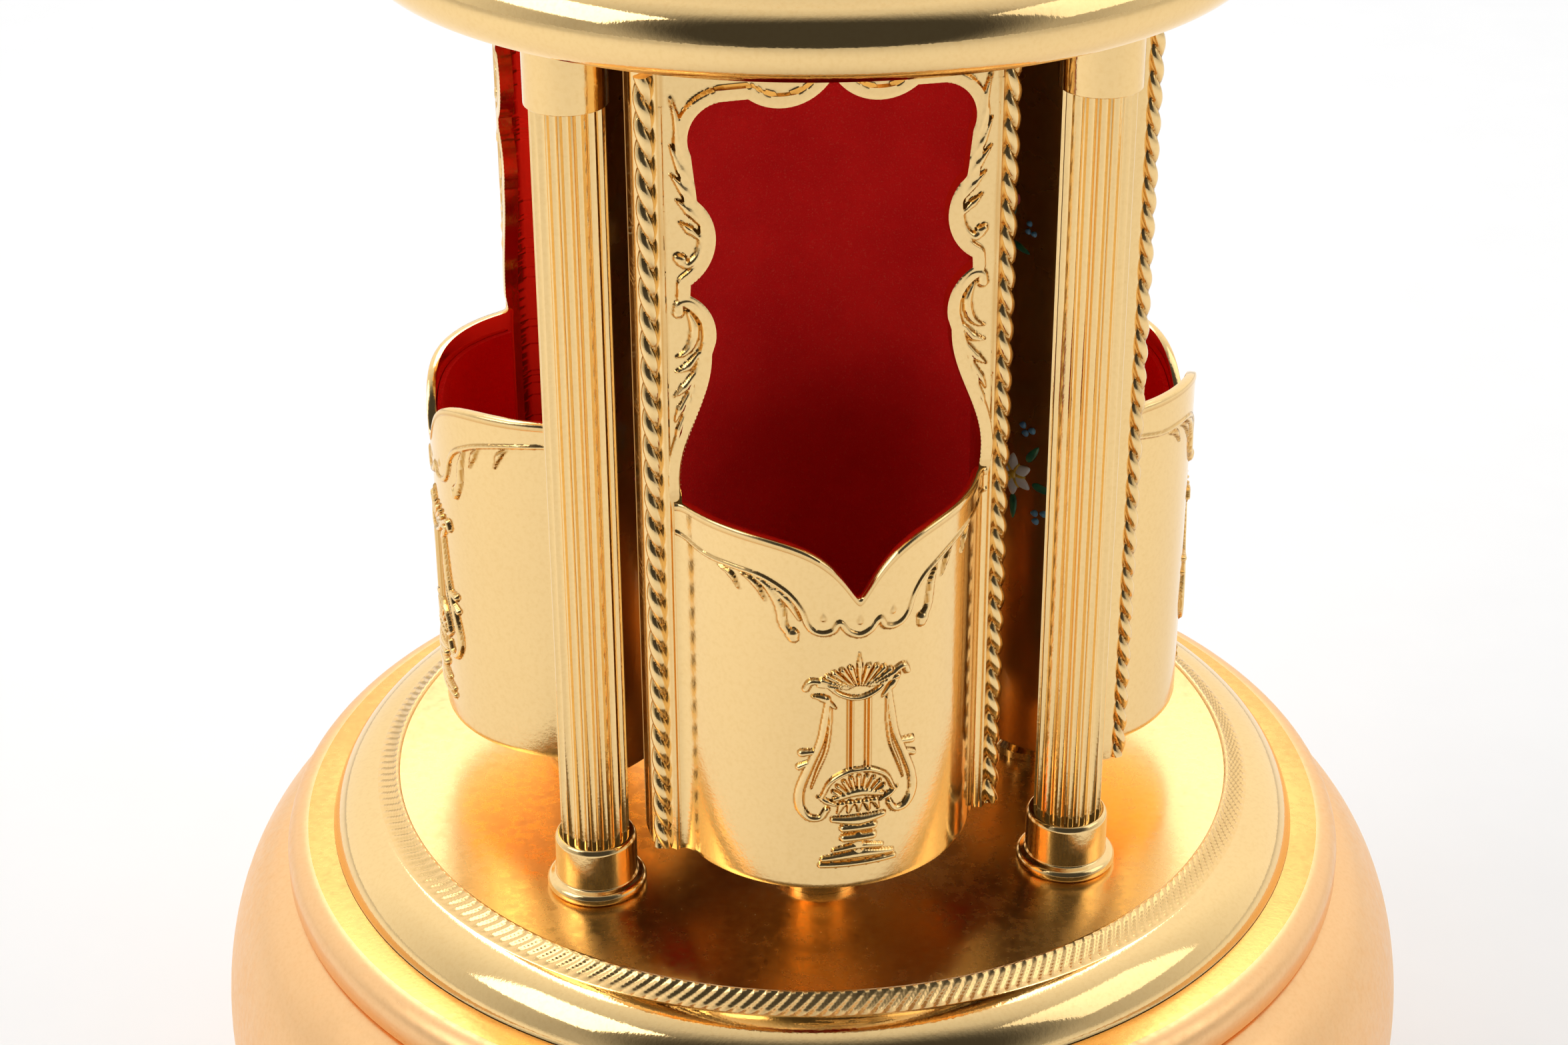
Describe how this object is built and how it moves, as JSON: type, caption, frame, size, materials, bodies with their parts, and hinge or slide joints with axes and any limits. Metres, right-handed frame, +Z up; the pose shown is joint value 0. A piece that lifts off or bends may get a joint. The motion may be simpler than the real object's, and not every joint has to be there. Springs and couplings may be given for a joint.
{
  "type": "carousel music box",
  "caption": "Domed carousel music box: round base with movement, fluted columns, and lined cup holders that turn together when the finial is turned.",
  "frame": {"origin": "centre of the base, on the surface that the feet stand on", "axes": "+Z up along the centre shaft, -Y towards the front holder"},
  "size_m": [0.1448, 0.1448, 0.2379],
  "materials": {
    "satin_gold": "satin lacquered gold",
    "polished_gold": "mirror polished gold plate",
    "painted_back": "gold lacquer with painted flowers",
    "red_flock": "short red flock",
    "steel": "turned steel",
    "spring_steel": "blued spring steel",
    "movement_brass": "machined brass",
    "cast_zinc": "as cast",
    "rubber": "matt moulded rubber",
    "black_steel": "black enamel"
  },
  "bodies": {
    "case": {"base_shell": "satin_gold", "step_ring": "satin_gold", "stage_disc": "polished_gold", "bottom_cover": "black_steel", "feet": "rubber", "bottom_screws": "steel", "movement_plate": "cast_zinc", "movement_bridge": "cast_zinc", "movement_pillars": "steel", "movement_screws": "steel", "comb": "spring_steel", "comb_bracket": "cast_zinc", "comb_screws": "steel", "stage_bush": "movement_brass", "pivot_posts": "polished_gold", "tie_rods": "steel", "tie_nuts": "steel", "canopy_plate": "polished_gold", "canopy_dome": "polished_gold", "column_front": "polished_gold", "column_right": "polished_gold", "column_rear": "polished_gold", "column_left": "polished_gold"},
    "centre_spindle": {"centre_shaft": "steel", "stop_arm": "steel", "sun_gear": "movement_brass", "finial": "polished_gold"},
    "winder": {"winding_arbor": "steel", "winding_key": "polished_gold"},
    "barrel": {"spring_barrel": "movement_brass", "mainspring": "spring_steel"},
    "music_cylinder": {"music_cylinder": "movement_brass", "cylinder_pins": "steel"},
    "governor_wheel": {"governor_wheel": "movement_brass"},
    "governor_fly": {"governor_fly": "movement_brass"},
    "holder_front": {"door_frame_front": "polished_gold", "door_cup_front": "polished_gold", "door_back_front": "painted_back", "door_lining_front": "red_flock", "door_pivots_front": "steel", "door_pinion_front": "movement_brass"},
    "holder_right": {"door_frame_right": "polished_gold", "door_cup_right": "polished_gold", "door_back_right": "painted_back", "door_lining_right": "red_flock", "door_pivots_right": "steel", "door_pinion_right": "movement_brass"},
    "holder_rear": {"door_frame_rear": "polished_gold", "door_cup_rear": "polished_gold", "door_back_rear": "painted_back", "door_lining_rear": "red_flock", "door_pivots_rear": "steel", "door_pinion_rear": "movement_brass"},
    "holder_left": {"door_frame_left": "polished_gold", "door_cup_left": "polished_gold", "door_back_left": "painted_back", "door_lining_left": "red_flock", "door_pivots_left": "steel", "door_pinion_left": "movement_brass"}
  },
  "joints": [
    {"name": "finial_turn", "type": "hinge", "parent": "case", "child": "centre_spindle", "pos_m": [0, 0, 0.064], "axis": [0, 0, 1], "range_deg": [-79.24, 0]},
    {"name": "winding_key_turn", "type": "hinge", "parent": "case", "child": "winder", "pos_m": [0, 0, 0.01], "axis": [0, 0, 1], "continuous": true},
    {"name": "barrel_turn", "type": "hinge", "parent": "case", "child": "barrel", "pos_m": [0, 0, 0.02], "axis": [0, 0, 1], "continuous": true},
    {"name": "cylinder_turn", "type": "hinge", "parent": "case", "child": "music_cylinder", "pos_m": [0.0288, 0, 0.02], "axis": [0, 0, 1], "continuous": true},
    {"name": "governor_wheel_turn", "type": "hinge", "parent": "case", "child": "governor_wheel", "pos_m": [0.0288, 0.015, 0.02], "axis": [0, 0, 1], "continuous": true},
    {"name": "governor_fly_turn", "type": "hinge", "parent": "case", "child": "governor_fly", "pos_m": [0.02141, 0.02381, 0.02], "axis": [0, 0, 1], "continuous": true},
    {"name": "holder_front_turn", "type": "hinge", "parent": "case", "child": "holder_front", "pos_m": [0, -0.0268, 0.073], "axis": [0, 0, 1], "range_deg": [0, 167.8]},
    {"name": "holder_right_turn", "type": "hinge", "parent": "case", "child": "holder_right", "pos_m": [0.0268, 0, 0.073], "axis": [0, 0, 1], "range_deg": [0, 167.8]},
    {"name": "holder_rear_turn", "type": "hinge", "parent": "case", "child": "holder_rear", "pos_m": [0, 0.0268, 0.073], "axis": [0, 0, 1], "range_deg": [0, 167.8]},
    {"name": "holder_left_turn", "type": "hinge", "parent": "case", "child": "holder_left", "pos_m": [-0.0268, 0, 0.073], "axis": [0, 0, 1], "range_deg": [0, 167.8]}
  ],
  "couplings": [
    {"joint": "cylinder_turn", "follows": "barrel_turn", "ratio": -3},
    {"joint": "governor_wheel_turn", "follows": "barrel_turn", "ratio": 12},
    {"joint": "governor_fly_turn", "follows": "barrel_turn", "ratio": -43.2},
    {"joint": "holder_front_turn", "follows": "finial_turn", "ratio": -2.1176},
    {"joint": "holder_right_turn", "follows": "finial_turn", "ratio": -2.1176},
    {"joint": "holder_rear_turn", "follows": "finial_turn", "ratio": -2.1176},
    {"joint": "holder_left_turn", "follows": "finial_turn", "ratio": -2.1176}
  ]
}
